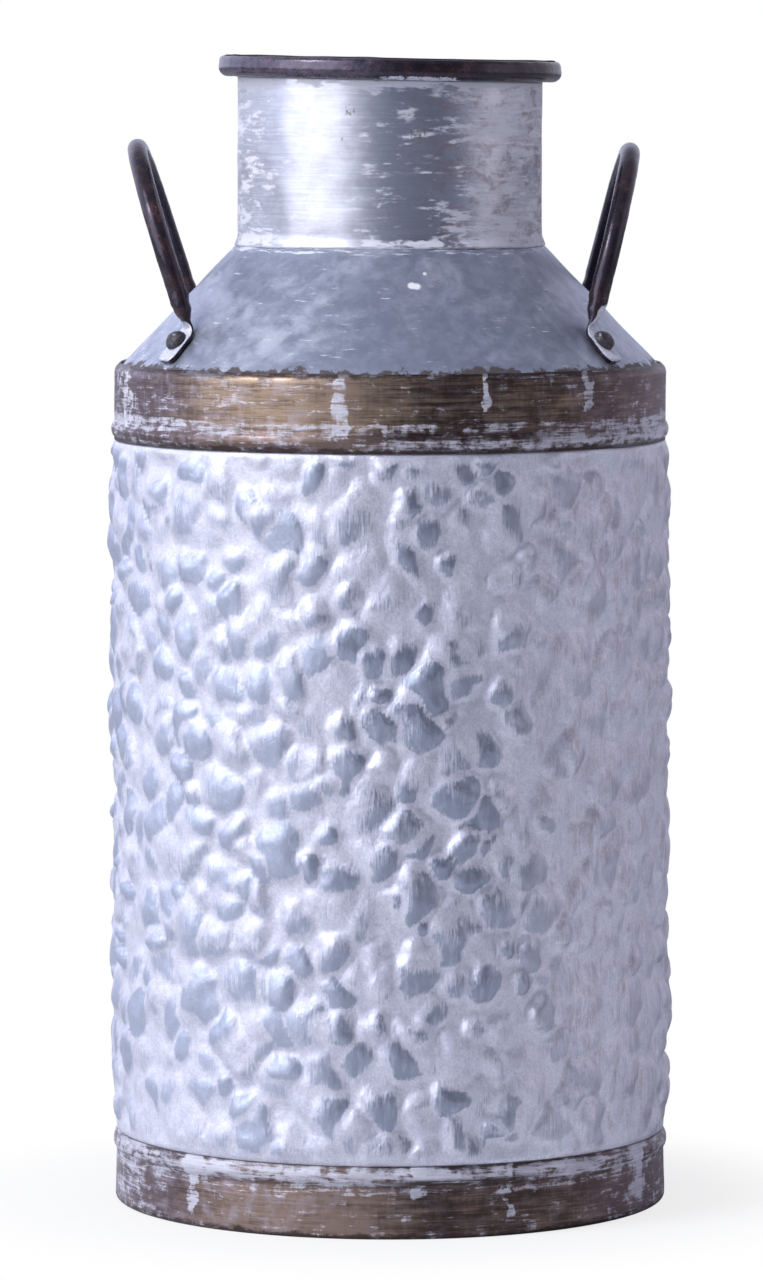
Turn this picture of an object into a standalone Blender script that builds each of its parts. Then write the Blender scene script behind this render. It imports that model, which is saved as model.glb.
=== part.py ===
"""Milk can of galvanised sheet steel with a hammered body, as an assembly of separate solids.

Run with:  blender --background --python part.py

Frame: metres, +Z up. The origin is on the floor, at the centre of the can. The front faces -Y and
the two handles stand at -X and +X. Every rolled sheet closes in a seam at the back, at +Y.

How the can goes together, from the floor up:
  base_band      hoop whose hem carries bottom_pan, and whose beaded top grips body_shell
  bottom_pan     pressed disc with its flange turned down, set up inside base_band
  body_shell     rolled cylinder, stepped in at both ends so that it slips inside the two bands
  shoulder_band  hoop that joins body_shell to shoulder_cone, crimped over the corner of the cone
  shoulder_cone  45 degree cone with a skirt below and an upstand that enters the neck
  neck_collar    rolled tube, flanged onto the cone and curled over rim_ring at the top
  rim_ring       round steel ring that stiffens the mouth
  handle_*       round bar bent to an arch, with its ends flattened and set on the cone
  rivet_*        one through each handle end and the cone
"""

import math

import bmesh
import bpy
import numpy as np
from mathutils import Matrix, Vector

MM = 0.001

# Driving dimensions
TOTAL_HEIGHT = 435.5 * MM
BODY_RADIUS = 105.0 * MM
NECK_RADIUS = 57.8 * MM
CONE_TOP_HEIGHT = 363.5 * MM  # where the outside of the cone would meet the outside of the neck
SHEET = 0.8 * MM
GAP = 0.3 * MM  # clearance between two pieces that are soldered, crimped or riveted together

# Bands and their beads
BEAD_HEIGHT = 6.0 * MM
BEAD_RISE = 1.2 * MM
SHOULDER_BEAD_CENTRE = 295.0 * MM
BASE_BEAD_CENTRE = 23.0 * MM
BAND_EDGE = 1.0 * MM  # plain strip between a bead and the edge of its band
BASE_FLARE = 0.4 * MM  # the base band is this much wider at its foot
HEM_CORNER = 1.8 * MM
HEM_WIDTH = 8.0 * MM
CRIMP_LENGTH = 1.5 * MM

# Sheets that slip inside others
INNER_RADIUS = BODY_RADIUS - SHEET - GAP
UPSTAND_RADIUS = NECK_RADIUS - SHEET - GAP
UPSTAND_HEIGHT = 11.0 * MM
CONE_CORNER = 2.5 * MM
SKIRT_BOTTOM = 308.0 * MM
BODY_TOP = 306.5 * MM
PAN_FLOOR = 8.0 * MM
PAN_CORNER = 2.0 * MM

# Neck and rim
RIM_WIRE_RADIUS = 3.5 * MM
CURL_END_DEG = 75.0  # the curl stops a little past the top of the ring
NECK_FLANGE = 2.5 * MM

# Seams at the back
SEAM_WIDTH = 7.0 * MM
SEAM_RISE = 0.9 * MM
SEAM_ROOT = 0.4 * MM  # how far a seam is sunk in its sheet

# Rivets
RIVET_AZIMUTH_DEG = 33.5  # from the X axis, to the front and to the back
RIVET_RADIUS_ON_CONE = 93.5 * MM
SHANK_RADIUS = 2.0 * MM
HOLE_RADIUS = 2.4 * MM
RIVET_HEAD_RADIUS = 4.4 * MM
RIVET_HEAD_HEIGHT = 3.2 * MM
RIVET_TAIL_RADIUS = 3.6 * MM
RIVET_TAIL_HEIGHT = 1.6 * MM
FACET_ALLOWANCE = 0.2 * MM  # a flat facet of the cone lies this far inside the true cone at most

# Handles
BAR_RADIUS = 3.7 * MM
TAB_THICKNESS = 2.2 * MM
TAB_BELOW_RIVET = 11.5 * MM
TAB_ABOVE_RIVET = 6.5 * MM
BEND_LENGTH = 3.0 * MM
ARCH_TOP = Vector((93.5, 0.0, 400.5)) * MM
ARCH_RADIUS = 48.0 * MM
# Along a handle from its end: distance, half width, half thickness, squareness of the section
HANDLE_SECTIONS = (
    (0.0, 3.6, 0.9, 0.45),
    (1.0, 4.6, 1.1, 0.45),
    (3.0, 5.0, 1.1, 0.45),
    (15.0, 5.0, 1.1, 0.45),
    (20.0, 4.6, 1.2, 0.6),
    (22.5, 4.3, 2.1, 0.8),
    (25.0, 4.0, 3.1, 0.95),
    (29.0, 3.7, 3.7, 1.0),
)
TWIST_START = 17.5 * MM  # between these two distances the bar's faces turn from the tab to the arch
TWIST_END = 25.0 * MM

# Facets
RING_STEPS = 48
RIVET_STEPS = 12
BAR_SIDES = 12
ARC_STEP_DEG = 22.5
MERGE_DISTANCE = 1e-7

BASE_COLOURS = {
    # name: colour, roughness, metallic
    "hammered_steel": ((0.62, 0.64, 0.71), 0.45, 0.7),
    "galvanised_steel": ((0.50, 0.53, 0.60), 0.40, 0.8),
    "bronze_paint": ((0.20, 0.14, 0.09), 0.45, 0.5),
    "black_paint": ((0.030, 0.025, 0.028), 0.35, 0.2),
    "rivet_steel": ((0.12, 0.11, 0.12), 0.40, 0.8),
}


def clear_scene():
    for obj in list(bpy.data.objects):
        bpy.data.objects.remove(obj)


def make_materials():
    made = {}
    for name, (colour, roughness, metallic) in BASE_COLOURS.items():
        material = bpy.data.materials.new(name)
        material.use_nodes = True
        shader = material.node_tree.nodes["Principled BSDF"]
        shader.inputs["Base Color"].default_value = (*colour, 1.0)
        shader.inputs["Roughness"].default_value = roughness
        shader.inputs["Metallic"].default_value = metallic
        made[name] = material
    return made


def add_object(name, shape, material):
    """Turns a bmesh into a named object, shaded smooth except at its sharp edges."""
    bmesh.ops.recalc_face_normals(shape, faces=shape.faces)
    mesh = bpy.data.meshes.new(name)
    shape.to_mesh(mesh)
    shape.free()
    mesh.shade_smooth()
    mesh.set_sharp_from_angle(angle=math.radians(35.0))
    mesh.materials.append(material)
    obj = bpy.data.objects.new(name, mesh)
    bpy.context.scene.collection.objects.link(obj)
    return obj


def as_helper(obj):
    """Keeps a Boolean's operand out of the render and out of the build."""
    obj.hide_render = True
    obj.display_type = "WIRE"
    return obj


def add_boolean(obj, operand, operation):
    modifier = obj.modifiers.new(operand.name, "BOOLEAN")
    modifier.operation = operation
    modifier.object = operand


# Profiles: lists of 2D vectors (radius, height), drawn upwards or inwards, outside face first


def point(radius, height):
    return Vector((radius, height))


def arc(centre, radius, start_deg, end_deg):
    """Points along an arc, both ends included. 0 degrees points away from the axis, 90 up."""
    steps = max(2, math.ceil(abs(end_deg - start_deg) / ARC_STEP_DEG))
    angles = [math.radians(start_deg + (end_deg - start_deg) * i / steps) for i in range(steps + 1)]
    return [centre + radius * point(math.cos(a), math.sin(a)) for a in angles]


def bead(radius, centre_height):
    """A band's outward bead, as the arc whose chord is BEAD_HEIGHT and whose rise is BEAD_RISE."""
    half = BEAD_HEIGHT / 2
    curve = (half**2 + BEAD_RISE**2) / (2 * BEAD_RISE)
    half_deg = math.degrees(math.asin(half / curve))
    centre = point(radius + BEAD_RISE - curve, centre_height)
    return arc(centre, curve, -half_deg, half_deg)


def cone_height(radius, lift=0.0):
    """Height at this radius on the cone's outside face, or on a face lifted off it along its normal."""
    return CONE_TOP_HEIGHT + NECK_RADIUS - radius + lift * math.sqrt(2)


def cone_corner(radius, corner, lift):
    """The rounded corner where a vertical wall at radius turns onto the slope of the cone."""
    centre_radius = radius - corner
    centre = point(centre_radius, cone_height(centre_radius, lift - corner))
    return arc(centre, corner, 0.0, 45.0)


def moved_left(path, distance):
    """The path moved sideways to its left by distance, with mitred corners."""
    moved = []
    for i, here in enumerate(path):
        sides = []
        if i > 0:
            sides.append((here - path[i - 1]).normalized())
        if i < len(path) - 1:
            sides.append((path[i + 1] - here).normalized())
        normals = [Vector((-side.y, side.x)) for side in sides]
        mitre = sum(normals, Vector((0.0, 0.0))).normalized()
        moved.append(here + mitre * distance / mitre.dot(normals[0]))
    return moved


def sheet_outline(path):
    """The closed outline of a sheet whose outside face follows path."""
    return path + moved_left(path, SHEET)[::-1]


def turned(name, outline, material, steps=RING_STEPS):
    """A solid of revolution about its local Z axis from a closed outline."""
    on_axis = MERGE_DISTANCE
    shape = bmesh.new()
    corners = [shape.verts.new((p.x, 0.0, p.y)) for p in outline]
    edges = []
    for start, end in zip(corners, corners[1:] + corners[:1]):
        if start.co.x > on_axis or end.co.x > on_axis:
            edges.append(shape.edges.new((start, end)))
    bmesh.ops.spin(
        shape,
        geom=corners + edges,
        cent=(0.0, 0.0, 0.0),
        axis=(0.0, 0.0, 1.0),
        angle=2 * math.pi,
        steps=steps,
        use_merge=True,
    )
    bmesh.ops.remove_doubles(shape, verts=shape.verts, dist=MERGE_DISTANCE)
    return add_object(name, shape, material)


def seam_bar(name, low, high, material):
    """A flat bar up the back of a sheet, from low to high on its outside face, to be joined to it."""
    along = high - low
    direction = along.normalized()
    outward = point(direction.y, -direction.x)
    centre = (low + high) / 2 + outward * (SEAM_RISE - SEAM_ROOT) / 2
    shape = bmesh.new()
    size = Matrix.Diagonal((SEAM_WIDTH, SEAM_RISE + SEAM_ROOT, along.length, 1.0))
    bmesh.ops.create_cube(shape, size=1.0, matrix=size)
    bar = add_object(name, shape, material)
    bar.location = (0.0, centre.x, centre.y)
    bar.rotation_euler.x = math.atan2(-direction.x, direction.y)
    return as_helper(bar)


# The sheets


def build_base_band(material):
    foot_radius = BODY_RADIUS + BASE_FLARE
    hem_centre = point(foot_radius - HEM_CORNER, HEM_CORNER)
    path = [point(foot_radius - HEM_WIDTH, 0.0)]
    path += arc(hem_centre, HEM_CORNER, -90.0, 0.0)
    path += bead(BODY_RADIUS, BASE_BEAD_CENTRE)
    path.append(point(BODY_RADIUS, BASE_BEAD_CENTRE + BEAD_HEIGHT / 2 + BAND_EDGE))
    return turned("base_band", sheet_outline(path), material)


def build_bottom_pan(material):
    corner_centre = point(INNER_RADIUS - PAN_CORNER, PAN_FLOOR - PAN_CORNER)
    path = [point(INNER_RADIUS, SHEET + GAP)]
    path += arc(corner_centre, PAN_CORNER, 0.0, 90.0)
    path.append(point(0.0, PAN_FLOOR))
    return turned("bottom_pan", sheet_outline(path), material)


def build_body_shell(material):
    """The step at each end starts just clear of the band that it slips into."""
    step = BODY_RADIUS - INNER_RADIUS
    clear = 0.2 * MM
    low = BASE_BEAD_CENTRE + BEAD_HEIGHT / 2 + BAND_EDGE + clear
    high = SHOULDER_BEAD_CENTRE - BEAD_HEIGHT / 2 - BAND_EDGE - clear
    path = [
        point(INNER_RADIUS, PAN_FLOOR + 1.5 * MM),
        point(INNER_RADIUS, low),
        point(BODY_RADIUS, low + step),
        point(BODY_RADIUS, high - step),
        point(INNER_RADIUS, high),
        point(INNER_RADIUS, BODY_TOP),
    ]
    shell = turned("body_shell", sheet_outline(path), material)
    seam_end = 2.0 * MM
    seam_low = point(BODY_RADIUS, low + step + seam_end)
    seam_high = point(BODY_RADIUS, high - step - seam_end)
    add_boolean(shell, seam_bar("body_seam", seam_low, seam_high, material), "UNION")
    return shell


def build_shoulder_band(material):
    lift = SHEET + GAP
    corner = cone_corner(BODY_RADIUS, CONE_CORNER + lift, lift)
    crimp = corner[-1] + CRIMP_LENGTH * point(-1.0, 1.0).normalized()
    path = [point(BODY_RADIUS, SHOULDER_BEAD_CENTRE - BEAD_HEIGHT / 2 - BAND_EDGE)]
    path += bead(BODY_RADIUS, SHOULDER_BEAD_CENTRE)
    path += corner + [crimp]
    return turned("shoulder_band", sheet_outline(path), material)


def build_shoulder_cone(material, holes):
    path = [point(INNER_RADIUS, SKIRT_BOTTOM)]
    path += cone_corner(INNER_RADIUS, CONE_CORNER, 0.0)
    path.append(point(UPSTAND_RADIUS, cone_height(UPSTAND_RADIUS)))
    path.append(point(UPSTAND_RADIUS, CONE_TOP_HEIGHT + UPSTAND_HEIGHT))
    cone = turned("shoulder_cone", sheet_outline(path), material)
    seam_bottom = INNER_RADIUS - 5.0 * MM
    seam_top = NECK_RADIUS + 4.0 * MM
    seam_low = point(seam_bottom, cone_height(seam_bottom))
    seam_high = point(seam_top, cone_height(seam_top))
    add_boolean(cone, seam_bar("shoulder_seam", seam_low, seam_high, material), "UNION")
    for hole in holes:
        add_boolean(cone, hole, "DIFFERENCE")
    return cone


def rim_centre():
    """The centre of the rim ring's wire, which the curl of the neck goes round."""
    top_to_centre = SHEET + GAP + RIM_WIRE_RADIUS
    return point(NECK_RADIUS + GAP + RIM_WIRE_RADIUS, TOTAL_HEIGHT - top_to_centre)


def build_neck_collar(material):
    lift = SHEET + GAP
    corner_height = cone_height(NECK_RADIUS, lift)
    flange_end = point(NECK_RADIUS, corner_height) + NECK_FLANGE * point(1.0, -1.0).normalized()
    path = [flange_end, point(NECK_RADIUS, corner_height)]
    path += arc(rim_centre(), RIM_WIRE_RADIUS + GAP, 180.0, CURL_END_DEG)
    collar = turned("neck_collar", sheet_outline(path), material)
    seam_low = point(NECK_RADIUS, corner_height + 2.0 * MM)
    seam_high = point(NECK_RADIUS, rim_centre().y - RIM_WIRE_RADIUS - 1.5 * MM)
    add_boolean(collar, seam_bar("neck_seam", seam_low, seam_high, material), "UNION")
    return collar


def build_rim_ring(material):
    return turned("rim_ring", arc(rim_centre(), RIM_WIRE_RADIUS, 0.0, 360.0)[:-1], material)


# Rivets


def rivet_places():
    """Each rivet's name suffix and azimuth."""
    side = math.radians(RIVET_AZIMUTH_DEG)
    return {
        "right_front": -side,
        "right_rear": side,
        "left_front": math.pi + side,
        "left_rear": math.pi - side,
    }


def set_on_cone(obj, azimuth):
    """Puts obj on the cone at this azimuth, with its local Z axis along the cone's normal."""
    radius = RIVET_RADIUS_ON_CONE
    obj.location = (radius * math.cos(azimuth), radius * math.sin(azimuth), cone_height(radius))
    obj.rotation_euler = (0.0, math.radians(45.0), azimuth)


def build_rivet(suffix, azimuth, material):
    """A dome head on the handle's tab, a shank through tab and cone, and a hammered tail inside."""
    head_seat = TAB_THICKNESS + 2 * GAP
    tail_seat = -SHEET - GAP - FACET_ALLOWANCE
    tail_end = tail_seat - RIVET_TAIL_HEIGHT
    outline = [
        point(0.0, tail_end),
        point(RIVET_TAIL_RADIUS * 0.8, tail_end),
        point(RIVET_TAIL_RADIUS, tail_end + RIVET_TAIL_HEIGHT * 0.4),
        point(RIVET_TAIL_RADIUS, tail_seat),
        point(SHANK_RADIUS, tail_seat),
        point(SHANK_RADIUS, head_seat),
    ]
    dome = arc(point(0.0, 0.0), 1.0, 0.0, 90.0)
    outline += [point(p.x * RIVET_HEAD_RADIUS, head_seat + p.y * RIVET_HEAD_HEIGHT) for p in dome[:-1]]
    outline.append(point(0.0, head_seat + RIVET_HEAD_HEIGHT))
    rivet = turned("rivet_" + suffix, outline, material, RIVET_STEPS)
    set_on_cone(rivet, azimuth)
    return rivet


def build_hole(suffix, azimuth, material):
    """The cutter for one rivet's hole, long enough for the cone and for the tab above it."""
    shape = bmesh.new()
    bmesh.ops.create_cone(
        shape,
        cap_ends=True,
        segments=RIVET_STEPS,
        radius1=HOLE_RADIUS,
        radius2=HOLE_RADIUS,
        depth=4 * TAB_THICKNESS,
    )
    hole = add_object("hole_" + suffix, shape, material)
    set_on_cone(hole, azimuth)
    return as_helper(hole)


# Handles


def smooth_step(value):
    value = min(max(value, 0.0), 1.0)
    return value * value * (3.0 - 2.0 * value)


def front_half_path():
    """The right handle's centreline from its front end to the middle of the arch, and its tab's normal."""
    azimuth = -math.radians(RIVET_AZIMUTH_DEG)
    outward = Vector((math.cos(azimuth), math.sin(azimuth), 0.0))
    normal = (outward + Vector((0.0, 0.0, 1.0))).normalized()
    on_cone = outward * RIVET_RADIUS_ON_CONE
    on_cone.z = cone_height(RIVET_RADIUS_ON_CONE)
    rivet = on_cone + normal * (GAP + TAB_THICKNESS / 2)
    tab = (outward - Vector((0.0, 0.0, 1.0))).normalized()
    end = rivet + tab * TAB_BELOW_RIVET
    foot = rivet - tab * TAB_ABOVE_RIVET
    up = (ARCH_TOP - Vector((foot.x, 0.0, foot.z))).normalized()
    centre = ARCH_TOP - up * ARCH_RADIUS
    spring = centre - Vector((0.0, ARCH_RADIUS, 0.0))
    leg = (spring - foot).normalized()

    tab_points = 6
    path = [end.lerp(foot + tab * BEND_LENGTH, i / tab_points) for i in range(tab_points)]
    # The first gap is split, so that the tab's rounded end has its own sections.
    path[1:1] = [end - tab * 1.0 * MM]
    bend_points = 5
    for i in range(bend_points + 1):
        t = i / bend_points
        before = (foot + tab * BEND_LENGTH).lerp(foot, t)
        after = foot.lerp(foot + leg * BEND_LENGTH, t)
        path.append(before.lerp(after, t))
    leg_points = 7
    leg_start = foot + leg * BEND_LENGTH
    path += [leg_start.lerp(spring, i / leg_points) for i in range(1, leg_points)]
    arch_points = 7
    for i in range(arch_points + 1):
        turn = math.pi / 2 * i / arch_points
        path.append(centre + ARCH_RADIUS * (up * math.sin(turn) - Vector((0.0, math.cos(turn), 0.0))))
    face = up.cross(Vector((0.0, -1.0, 0.0)))
    return path, normal, face


def section_ring(here, tangent, face, distance):
    """The corners of the bar's section at a distance from its end, as a rounded rectangle or a circle."""
    stations = np.array(HANDLE_SECTIONS)
    half_width, half_thickness, squareness = (
        np.interp(distance / MM, stations[:, 0], stations[:, column]) for column in (1, 2, 3)
    )
    across = face.cross(tangent).normalized()
    upright = tangent.cross(across)
    ring = []
    for i in range(BAR_SIDES):
        turn = 2 * math.pi * (i + 0.5) / BAR_SIDES
        c, s = math.cos(turn), math.sin(turn)
        wide = math.copysign(abs(c) ** squareness, c) * half_width * MM
        thick = math.copysign(abs(s) ** squareness, s) * half_thickness * MM
        ring.append(here + across * wide + upright * thick)
    return ring


def handle_rings():
    path, tab_normal, arch_face = front_half_path()
    rings = []
    distance = 0.0
    for i, here in enumerate(path):
        if i > 0:
            distance += (here - path[i - 1]).length
        last = i == len(path) - 1
        behind = path[max(i - 1, 0)]
        ahead = path[min(i + 1, len(path) - 1)]
        tangent = Vector((0.0, 1.0, 0.0)) if last else (ahead - behind).normalized()
        twist = smooth_step((distance - TWIST_START) / (TWIST_END - TWIST_START))
        face = tab_normal.lerp(arch_face, twist)
        rings.append(section_ring(here, tangent, face, distance))
    mirrored = [[Vector((p.x, -p.y, p.z)) for p in ring] for ring in rings[-2::-1]]
    return rings + mirrored


def build_handle_mesh(material):
    shape = bmesh.new()
    loops = [[shape.verts.new(p) for p in ring] for ring in handle_rings()]
    for low, high in zip(loops, loops[1:]):
        for i in range(BAR_SIDES):
            j = (i + 1) % BAR_SIDES
            shape.faces.new((low[i], low[j], high[j], high[i]))
    shape.faces.new(loops[0])
    shape.faces.new(loops[-1])
    return add_object("handle_right", shape, material)


def build_handles(material, holes):
    """The left handle is the right one turned half round, because the arch is the same front and back."""
    right = build_handle_mesh(material)
    left = bpy.data.objects.new("handle_left", right.data)
    bpy.context.scene.collection.objects.link(left)
    left.rotation_euler.z = math.pi
    for handle, side in ((right, "right"), (left, "left")):
        for suffix, hole in holes.items():
            if suffix.startswith(side):
                add_boolean(handle, hole, "DIFFERENCE")


def build_can():
    clear_scene()
    materials = make_materials()
    galvanised = materials["galvanised_steel"]
    bronze = materials["bronze_paint"]
    black = materials["black_paint"]
    holes = {
        suffix: build_hole(suffix, azimuth, galvanised) for suffix, azimuth in rivet_places().items()
    }
    build_base_band(bronze)
    build_bottom_pan(galvanised)
    build_body_shell(materials["hammered_steel"])
    build_shoulder_band(bronze)
    build_shoulder_cone(galvanised, holes.values())
    build_neck_collar(galvanised)
    build_rim_ring(black)
    build_handles(black, holes)
    for suffix, azimuth in rivet_places().items():
        build_rivet(suffix, azimuth, materials["rivet_steel"])


build_can()
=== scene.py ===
"""Looks of the galvanised milk can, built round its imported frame.

Every piece is rebuilt as a fine closed mesh on the profile of its CAD node, with the dents and hammer
marks of the real surface as geometry. The materials are procedural. Shapes and patterns are worked out
in mm, and new_mesh turns them into metres. The camera and the lights are placed in metres. The front
faces -Y, and the sheets' seams are at the back, +Y.
"""

import math
from types import SimpleNamespace

import bpy
import numpy as np
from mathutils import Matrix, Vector


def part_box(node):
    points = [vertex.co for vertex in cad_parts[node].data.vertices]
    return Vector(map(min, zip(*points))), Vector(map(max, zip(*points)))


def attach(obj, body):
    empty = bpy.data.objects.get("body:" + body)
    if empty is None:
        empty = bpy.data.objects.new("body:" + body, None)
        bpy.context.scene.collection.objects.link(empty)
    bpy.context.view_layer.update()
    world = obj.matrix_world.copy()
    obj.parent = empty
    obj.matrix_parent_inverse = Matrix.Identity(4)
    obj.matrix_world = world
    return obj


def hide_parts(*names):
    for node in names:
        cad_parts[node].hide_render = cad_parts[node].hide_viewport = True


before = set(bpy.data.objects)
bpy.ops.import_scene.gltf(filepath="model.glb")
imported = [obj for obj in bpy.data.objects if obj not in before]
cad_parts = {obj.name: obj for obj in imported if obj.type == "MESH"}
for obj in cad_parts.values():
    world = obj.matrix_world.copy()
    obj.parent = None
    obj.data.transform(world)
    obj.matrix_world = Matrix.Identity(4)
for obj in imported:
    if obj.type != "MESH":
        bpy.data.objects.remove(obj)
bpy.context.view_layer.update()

MM = 0.001
SEED = 48

# Dimensions read from the CAD nodes, in mm
BASE_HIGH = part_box("base_band")[1] / MM
SHOULDER_LOW, SHOULDER_HIGH = (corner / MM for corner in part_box("shoulder_band"))
BODY_LOW, BODY_HIGH = (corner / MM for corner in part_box("body_shell"))
CONE_LOW, CONE_HIGH = (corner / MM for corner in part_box("shoulder_cone"))
RIM_LOW, RIM_HIGH = (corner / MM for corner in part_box("rim_ring"))
PAN_LOW, PAN_HIGH = (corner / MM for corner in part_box("bottom_pan"))

# Dimensions shared with the CAD, in mm
SHEET = 0.8
GAP = 0.3
BODY_RADIUS = BODY_HIGH.x
INNER_RADIUS = BODY_RADIUS - SHEET - GAP
BEAD_RISE = SHOULDER_HIGH.x - BODY_RADIUS
BEAD_HEIGHT = 6.0
BAND_EDGE = 1.0
RIM_WIRE = (RIM_HIGH.z - RIM_LOW.z) / 2
RIM_CENTRE = np.array([RIM_HIGH.x - RIM_WIRE, (RIM_HIGH.z + RIM_LOW.z) / 2])
NECK_RADIUS = RIM_CENTRE[0] - RIM_WIRE - GAP
UPSTAND_RADIUS = NECK_RADIUS - SHEET - GAP
CONE_FOOT = 316.3  # height at the body's radius
CONE_SLOPE = 1.04  # a little steeper than the CAD's 45 degrees
CONE_CORNER = 2.5
HEM_CORNER = 1.8
HEM_WIDTH = 8.0
BASE_FLARE = 0.4

# The rim was set on slightly askew: its right side is lower than its left
RIM_TILT_DEG = 1.1
TILT_START = 370.0

# Seams at the back
SEAM_AZIMUTH = math.pi / 2
SEAM_HALF_WIDTH = 3.5
SEAM_RISE = 0.9


# Noise on arrays of points


def lattice_noise(points, size, seed):
    """Smooth noise between -1 and 1 at points of shape (..., 3), changing over about size."""
    period = 32
    table = np.random.default_rng(seed).uniform(-1.0, 1.0, (period,) * 3)
    scaled = points / size
    cell = np.floor(scaled).astype(int)
    blend = scaled - cell
    blend = blend * blend * (3.0 - 2.0 * blend)
    total = 0.0
    for corner in np.ndindex(2, 2, 2):
        x, y, z = np.moveaxis((cell + corner) % period, -1, 0)
        weights = np.where(corner, blend, 1.0 - blend)
        total = total + table[x, y, z] * weights.prod(axis=-1)
    return total


def fractal_noise(points, size, seed, octaves=3):
    total = 0.0
    for octave in range(octaves):
        total = total + lattice_noise(points, size / 2**octave, seed + octave) / 2**octave
    return total


def smooth_step(value, low, high):
    share = np.clip((value - low) / (high - low), 0.0, 1.0)
    return share * share * (3.0 - 2.0 * share)


# Profiles: arrays of (radius, height) in mm, drawn with the sheet's outside on the right


def arc(centre, radius, start_deg, end_deg, steps=8):
    """Points along an arc, both ends included. 0 degrees points away from the axis, 90 up."""
    angles = np.radians(np.linspace(start_deg, end_deg, steps + 1))
    return [(centre[0] + radius * math.cos(a), centre[1] + radius * math.sin(a)) for a in angles]


def bead(radius, low):
    """A band's outward bead that starts at the height low."""
    half = BEAD_HEIGHT / 2
    curve = (half**2 + BEAD_RISE**2) / (2 * BEAD_RISE)
    half_deg = math.degrees(math.asin(half / curve))
    return arc((radius + BEAD_RISE - curve, low + half), curve, -half_deg, half_deg, 10)


def cone_height(radius, lift=0.0):
    return CONE_FOOT + (BODY_RADIUS - radius) * CONE_SLOPE + lift * math.sqrt(2)


def cone_corner(radius, corner, lift):
    centre_radius = radius - corner
    centre = (centre_radius, cone_height(centre_radius, lift - corner))
    return arc(centre, corner, 0.0, 45.0, 6)


def resampled(path, step):
    """The path with its longer spans divided so that none is longer than step."""
    points = [np.array(path[0], float)]
    for end in path[1:]:
        end = np.array(end, float)
        start = points[-1]
        count = max(1, math.ceil(np.linalg.norm(end - start) / step))
        points += [start + (end - start) * (i + 1) / count for i in range(count)]
    return np.array(points)


def path_normals(path):
    """Unit normals on the right-hand side of each point of the path."""
    tangents = np.gradient(path, axis=0)
    normals = np.stack([tangents[:, 1], -tangents[:, 0]], axis=1)
    return normals / np.linalg.norm(normals, axis=1, keepdims=True)


# Meshes


def link_piece(name, mesh, material, *nodes):
    """Makes the visible piece that stands for the CAD nodes and rides on the can's one body."""
    mesh.shade_smooth()
    mesh.materials.append(material)
    piece = bpy.data.objects.new(name, mesh)
    bpy.context.scene.collection.objects.link(piece)
    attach(piece, "root")
    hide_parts(*nodes)
    return piece


def grid_faces(rows, columns):
    """Quads of a grid of vertices that closes on itself in both directions."""
    row = np.arange(rows)[:, None]
    column = np.arange(columns)[None, :]
    next_row = (row + 1) % rows
    next_column = (column + 1) % columns
    corners = ((row, column), (row, next_column), (next_row, next_column), (next_row, column))
    return np.stack([r * columns + c for r, c in corners], axis=-1).reshape(-1, 4).tolist()


def round_angles(columns):
    return np.arange(columns) * 2 * math.pi / columns


def to_space(radius, height, angles):
    """Points in mm from arrays of radius and height (rows, columns) and the columns' angles."""
    return np.stack([radius * np.cos(angles), radius * np.sin(angles), height], axis=-1)


def turned(profile, angles):
    """Points in mm from a profile of (radius, height), turned to each of the angles."""
    return to_space(profile[:, :1] + 0 * angles, profile[:, 1:] + 0 * angles, angles)


def new_mesh(name, points, faces):
    """A mesh from points in mm, of shape (..., 3), and the indices of each face's corners."""
    mesh = bpy.data.meshes.new(name)
    mesh.from_pydata((points.reshape(-1, 3) * MM).tolist(), [], faces)
    return mesh


def lowest_nearby(push, reach):
    """The smallest value within reach rows of each row."""
    padded = np.pad(push, ((reach, reach), (0, 0)), mode="edge")
    return np.min([padded[i : i + len(push)] for i in range(2 * reach + 1)], axis=0)


def sheet_mesh(name, path, angles, dent, inner_stride=1):
    """A closed sheet turned round the can's axis.

    path runs along its outside face. dent takes the points in mm and their angles, and returns how far
    each is pushed outwards, in mm. The inside face keeps every inner_stride-th row, and stays under the
    deepest dents between them.
    """
    normals = path_normals(path)
    push = dent(turned(path, angles), angles)
    outer = np.arange(len(path))
    inner = np.unique(np.append(outer[::inner_stride], outer[-1]))[::-1]
    inner_push = lowest_nearby(push, inner_stride)[inner] if inner_stride > 1 else push[inner]
    sides = []
    for rows, shift in ((outer, push), (inner, inner_push - SHEET)):
        radius = path[rows, :1] + normals[rows, :1] * shift
        height = path[rows, 1:] + normals[rows, 1:] * shift
        sides.append(to_space(radius, height, angles))
    points = tilted(np.concatenate(sides))
    return new_mesh(name, points, grid_faces(len(points), len(angles))), len(inner)


def tube_mesh(name, rings):
    """A closed solid bar from its rings of points in mm, shape (rings, sides, 3)."""
    count, sides = rings.shape[:2]
    last = (count - 1) * sides
    faces = grid_faces(count, sides)[:last]
    faces.append(list(range(sides))[::-1])
    faces.append(list(range(last, last + sides)))
    return new_mesh(name, rings, faces)


def set_attribute(mesh, name, values):
    attribute = mesh.attributes.new(name, "FLOAT", "POINT")
    attribute.data.foreach_set("value", values.astype(np.float32).ravel())


def tilted(points):
    """The top of the neck leans with the rim, and everything under TILT_START stays level."""
    share = smooth_step(points[..., 2], TILT_START, RIM_LOW.z)
    points = points.copy()
    points[..., 2] -= share * points[..., 0] * math.tan(math.radians(RIM_TILT_DEG))
    return points


def from_seam(angles, radius):
    """The distance round the can from the middle of the seam at the back."""
    return np.abs(np.angle(np.exp(1j * (angles - SEAM_AZIMUTH)))) * radius


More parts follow.
